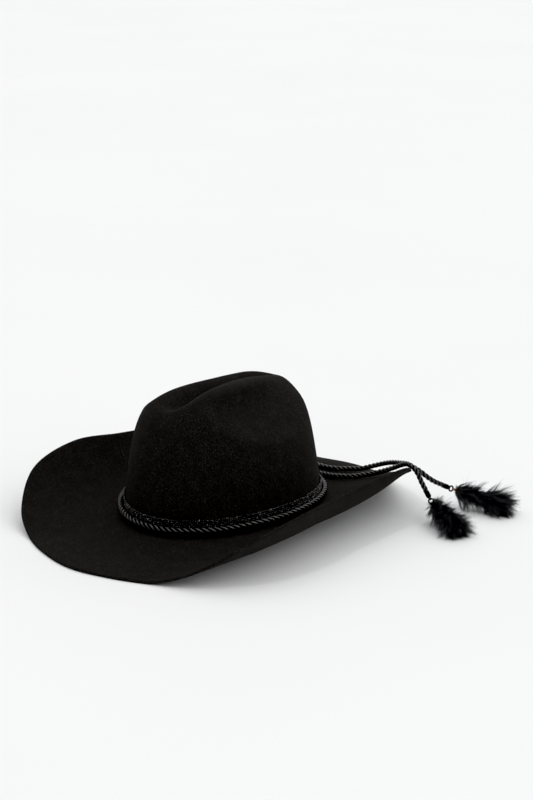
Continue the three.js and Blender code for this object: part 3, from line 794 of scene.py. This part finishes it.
# Outline of a tassel's core: shares of its length and of half its diameter
CORE_ALONG = [0.00, 0.12, 0.30, 0.45, 0.65, 0.84, 0.95]
CORE_OUT = [0.16, 0.30, 0.52, 0.46, 0.64, 0.54, 0.22]
CORE_FULLNESS = 0.5
HAIR_SEGMENTS = 5
HAIR_WIDTH = 0.0003
HAIR_SHORT = 0.0105
HAIR_LONGER = 0.0095
HAIR_SAG = 0.18
FUR_REACH = 1.10
FUR_BEND = 1.45
TUFT_COUNT = 330
TUFT_HAIRS = 34
TUFT_SPREAD = 0.0011
LOOSE_COUNT = 420
LOOSE_LENGTH = 1.35
FLOOR_GAP = 0.0004
PRESSED_HEIGHT = 0.003


def fur_roots(origin, axes, share, turn, depth):
    """Places on the tassel's core, and the outward directions there."""
    core = np.interp(share, CORE_ALONG, CORE_OUT) * TASSEL_DIAMETER / 2 * depth
    radial = np.cos(turn)[:, None] * axes[1] + np.sin(turn)[:, None] * axes[2]
    along = EYE_REACH + HEAD_BARE_LENGTH + TASSEL_LENGTH * share
    return origin + axes[0] * along[:, None] + radial * core[:, None], radial


def hair_length(share, count):
    """Longer towards the tassel's end, and short at its waist."""
    waist = 1 - 0.45 * np.exp(-((share - 0.38) / 0.10) ** 2)
    length = HAIR_SHORT + HAIR_LONGER * smooth((share - 0.2) / 0.5)
    length = length * waist * random.lognormal(0, 0.28, count)
    return np.minimum(length, (FUR_REACH - share) * TASSEL_LENGTH / FUR_BEND)


def hair_line(root, way, bend, length):
    """Points of hairs that leave in one direction and bend to another."""
    t = np.linspace(0, 1, HAIR_SEGMENTS + 1)
    line = root[:, None] + way[:, None] * (length[:, None] * t)[..., None]
    line += bend[:, None] * (length[:, None] * t ** 2)[..., None]
    line[..., 2] -= HAIR_SAG * length[:, None] * t ** 2
    return line


def fur_tufts(origin, axes):
    """Hairs in tufts: each tuft starts wide and closes to one curved point."""
    share = random.uniform(-0.06, 0.88, TUFT_COUNT)
    turn = random.uniform(0, 2 * np.pi, TUFT_COUNT)
    root, radial = fur_roots(origin, axes, share, turn, CORE_FULLNESS)
    lean = np.radians(mix(62, 30, share) + random.normal(0, 14, TUFT_COUNT))
    way = np.cos(lean)[:, None] * axes[0] + np.sin(lean)[:, None] * radial
    bend = 0.30 * unit(random.normal(0, 1, (TUFT_COUNT, 3))) + 0.25 * axes[0]
    length = hair_length(share, TUFT_COUNT)
    line = np.repeat(hair_line(root, way, bend, length), TUFT_HAIRS, 0)
    count = len(line)
    t = np.linspace(0, 1, HAIR_SEGMENTS + 1)
    spread = random.normal(0, TUFT_SPREAD, (count, 3))
    fan = random.normal(0, 0.10, (count, 3)) * np.repeat(length, TUFT_HAIRS)[:, None]
    line += spread[:, None] * (1 - 0.8 * t)[None, :, None] + fan[:, None] * (t ** 2)[None, :, None] * 0.6
    stretch = random.uniform(0.62, 1.06, count)[:, None, None]
    start = line[:, :1]
    line = start + (line - start) * stretch
    return line, np.repeat(way, TUFT_HAIRS, 0)


def fur_loose(origin, axes):
    """Single long hairs that stand off from the tufts."""
    share = random.uniform(0.05, 0.90, LOOSE_COUNT)
    turn = random.uniform(0, 2 * np.pi, LOOSE_COUNT)
    root, radial = fur_roots(origin, axes, share, turn, 0.6)
    lean = np.radians(mix(66, 34, share) + random.normal(0, 18, LOOSE_COUNT))
    way = np.cos(lean)[:, None] * axes[0] + np.sin(lean)[:, None] * radial
    bend = 0.45 * unit(random.normal(0, 1, (LOOSE_COUNT, 3)))
    reach = (FUR_REACH - share) * TASSEL_LENGTH / FUR_BEND
    length = np.minimum(hair_length(share, LOOSE_COUNT) * LOOSE_LENGTH, reach)
    return hair_line(root, way, bend, length), way


def fur_strands(origin, axes):
    tufts, tuft_ways = fur_tufts(origin, axes)
    loose, loose_ways = fur_loose(origin, axes)
    line = np.concatenate([tufts, loose])
    ways = np.concatenate([tuft_ways, loose_ways])
    line[..., 2] = lifted(line[..., 2])
    wide = unit(np.cross(ways, random.normal(0, 1, (len(line), 3))))
    t = np.linspace(0, 1, HAIR_SEGMENTS + 1)
    return ribbon(line, wide, HAIR_WIDTH * (1 - 0.85 * t) / 2)


def lifted(z):
    """Heights pressed up to lie on the floor, with a little of their order kept."""
    below = np.minimum(z - FLOOR_GAP - PRESSED_HEIGHT, 0)
    return np.where(below < 0, FLOOR_GAP + PRESSED_HEIGHT * np.exp(below / PRESSED_HEIGHT), z)


def ribbon(line, wide, width):
    count, steps = line.shape[:2]
    offset = wide[:, None] * width[None, :, None]
    points = np.stack([line - offset, line + offset], 2).reshape(-1, 3)
    base = np.arange(count)[:, None] * steps * 2
    step = np.arange(steps - 1)[None, :] * 2
    corners = [base + step, base + step + 1, base + step + 3, base + step + 2]
    return points, np.stack(corners, -1).reshape(-1, 4)


def make_fur(side, origin, axes):
    along = np.array(CORE_ALONG)
    fine = np.linspace(0, along[-1], 40)
    out = np.interp(fine, along, CORE_OUT) * TASSEL_DIAMETER / 2 * CORE_FULLNESS
    place = EYE_REACH + HEAD_BARE_LENGTH + TASSEL_LENGTH * fine
    points, faces, _ = lathe(np.stack([place, out], -1), origin, axes, 24)
    points[:, 2] = lifted(points[:, 2])
    strands, quads = fur_strands(origin, axes)
    faces = [*faces, quads + len(points)]
    points = np.concatenate([points, strands])
    return make_piece(f"fur_{side}", points, faces, FUR, f"tassel_{side}")


def make_tail(side, hide):
    route = centripetal(TAIL_ROUTES[side], TAIL_STEPS)
    points, faces, uv = twisted_rope(route, TAIL_DIAMETER * TAIL_FULLNESS, TAIL_LAY)
    rope = make_piece(f"rope_tail_{side}", points, faces, ROPE, f"tail_{side}", uv)
    leave = unit(route[-1] - route[-3])
    aim = aim_of(*TASSEL_AIMS[side])
    normal = unit(np.cross(leave, aim))
    if normal[2] < 0:
        normal = -normal
    start = route[-1] + leave * CLEARANCE
    ferrule = make_ferrule(side, start, axes_along(leave, normal))
    ring_middle = start + leave * (FERRULE_LENGTH + EYE_REACH + RING_REACH)
    ring = make_ring(side, ring_middle, axes_along(leave, normal))
    eye = ring_middle + aim * RING_REACH
    head = make_head(side, eye, axes_along(aim, normal), hide)
    fur = make_fur(side, eye, axes_along(aim, normal))


make_tail("right", HIDE_TAN)
make_tail("left", HIDE_PALE)
make_felt()
make_band_rope()
make_knot()


# Beads

BEAD_DIAMETER = 0.0021
BEAD_PITCH = 0.00185
STRAND_PITCH = 0.00186
BEAD_SIDES = 7
BEAD_FILL = 0.94
BEAD_SHIFT = 0.00008
BEAD_TURN = 0.10
BEAD_OUTLINE = [(-0.5, 0.30), (-0.42, 0.62), (-0.2, 1.0), (0.2, 1.0), (0.42, 0.62), (0.5, 0.30)]


def make_beads():
    """Strands of faceted beads, one above the other, each bead a little off its place."""
    strands = round(BAND_HEIGHT / STRAND_PITCH)
    outline = np.array(BEAD_OUTLINE)
    steps = len(outline)
    centres, forwards = [], []
    for strand in range(strands):
        height = BAND_FOOT + BEAD_DIAMETER / 2 + strand * (BAND_HEIGHT - BEAD_DIAMETER) / (strands - 1)
        angle = np.linspace(0, 2 * np.pi, 4000)
        sway = 0.00025 * np.sin(angle * 31 + strand * 2.1) + 0.0002 * np.sin(angle * 73 + strand)
        line = wall_point(angle, height + sway)
        line += outward(angle) * (CLEARANCE * 2 + BAND_THICKNESS / 2)
        length = np.linalg.norm(np.diff(line, axis=0), axis=1).sum()
        count = round(length / BEAD_PITCH)
        closed = resampled(line, count + 1)
        centres.append((closed[:-1] + closed[1:]) / 2)
        forwards.append(unit(np.diff(closed, axis=0)))
    centres, forwards = np.concatenate(centres), np.concatenate(forwards)
    count = len(centres)
    centres = centres + random.normal(0, BEAD_SHIFT, (count, 3))
    forwards = unit(forwards + random.normal(0, BEAD_TURN, (count, 3)))
    side = unit(np.cross(forwards, (0, 0, 1)))
    up = np.cross(side, forwards)
    size = random.uniform(0.90, 1.04, count)
    spin = random.uniform(0, 2 * np.pi, count)[:, None]
    spin = spin + np.arange(BEAD_SIDES) / BEAD_SIDES * 2 * np.pi
    ring = np.cos(spin)[..., None] * side[:, None] + np.sin(spin)[..., None] * up[:, None]
    along = outline[:, 0] * BEAD_PITCH * BEAD_FILL
    out = outline[:, 1] * BEAD_DIAMETER / 2
    points = centres[:, None, None] + forwards[:, None, None] * along[None, :, None, None]
    points = points + ring[:, None] * (out[None, :, None] * size[:, None, None])[..., None]
    offsets = np.arange(count)[:, None, None] * steps * BEAD_SIDES
    quads = (grid_faces_along(steps, BEAD_SIDES)[None] + offsets).reshape(-1, 4)
    side_numbers = np.arange(BEAD_SIDES)
    ends = np.array([side_numbers[::-1], (steps - 1) * BEAD_SIDES + side_numbers])
    faces = [quads, (ends[None] + offsets).reshape(-1, BEAD_SIDES)]
    make_piece("seed_beads", points.reshape(-1, 3), faces, BEADS, "bead_band", flat=True)


make_beads()


# Floor and light

FLOOR_REACH = 15


def make_floor():
    mesh = bpy.data.meshes.new("floor")
    corners = [(FLOOR_REACH * x, FLOOR_REACH * y, 0) for x, y in ((-1, -1), (1, -1), (1, 1), (-1, 1))]
    mesh.from_pydata(corners, [], [(0, 1, 2, 3)])
    nodes = Nodes("floor", Roughness=0.7)
    tone = nodes.ramp(nodes.noise(1.5), [(0.3, (0.85, 0.855, 0.86)), (0.7, (0.87, 0.872, 0.875))])
    nodes.link(tone, nodes.shader.inputs["Base Color"])
    mesh.materials.append(nodes.material)
    floor = bpy.data.objects.new("floor", mesh)
    bpy.context.scene.collection.objects.link(floor)


def make_sun(name, toward, angle, strength):
    """Sun whose light comes from the direction toward. angle is its width in degrees."""
    data = bpy.data.lights.new(name, "SUN")
    data.angle = math.radians(angle)
    data.energy = strength
    light = bpy.data.objects.new(name, data)
    bpy.context.scene.collection.objects.link(light)
    light.rotation_mode = "QUATERNION"
    light.rotation_quaternion = Vector(toward).to_track_quat("Z", "Y")


def make_world(toward, stops, strength):
    """Sky that is bright round the direction toward and dim on the opposite side."""
    world = bpy.data.worlds.new("world")
    world.use_nodes = True
    tree = world.node_tree
    place = tree.nodes.new("ShaderNodeTexCoord")
    dot = tree.nodes.new("ShaderNodeVectorMath")
    dot.operation = "DOT_PRODUCT"
    dot.inputs[1].default_value = Vector(toward).normalized()
    tree.links.new(place.outputs["Generated"], dot.inputs[0])
    node = tree.nodes.new("ShaderNodeMapRange")
    node.inputs["From Min"].default_value = -1
    tree.links.new(dot.outputs["Value"], node.inputs["Value"])
    ramp = tree.nodes.new("ShaderNodeValToRGB")
    while len(ramp.color_ramp.elements) < len(stops):
        ramp.color_ramp.elements.new(0.5)
    for element, (position, level) in zip(ramp.color_ramp.elements, stops):
        element.position = position
        element.color = (level, level, level, 1)
    tree.links.new(node.outputs["Result"], ramp.inputs["Fac"])
    background = tree.nodes["Background"]
    tree.links.new(ramp.outputs["Color"], background.inputs["Color"])
    background.inputs["Strength"].default_value = strength
    bpy.context.scene.world = world


# Directions that the light comes from
LIGHT_SIDE = (0.0, 0.50, 0.86)
KEY_SIDE = (-0.05, 0.55, 0.83)
FILL_SIDE = (0.72, -0.06, 0.69)
SPARK_SIDE = (-0.15, -0.35, 0.92)
BLACK_LEVEL = 0.0050

make_floor()
make_world(LIGHT_SIDE, [(0.34, 0.22), (0.86, 1.0)], 0.93)
make_sun("key", KEY_SIDE, 50, 0.35)
make_sun("fill", FILL_SIDE, 60, 0.65)
make_sun("spark", SPARK_SIDE, 3, 0.24)

view = bpy.context.scene.view_settings
view.view_transform = "Standard"
view.use_curve_mapping = True
view.curve_mapping.black_level = (BLACK_LEVEL,) * 3
view.curve_mapping.update()
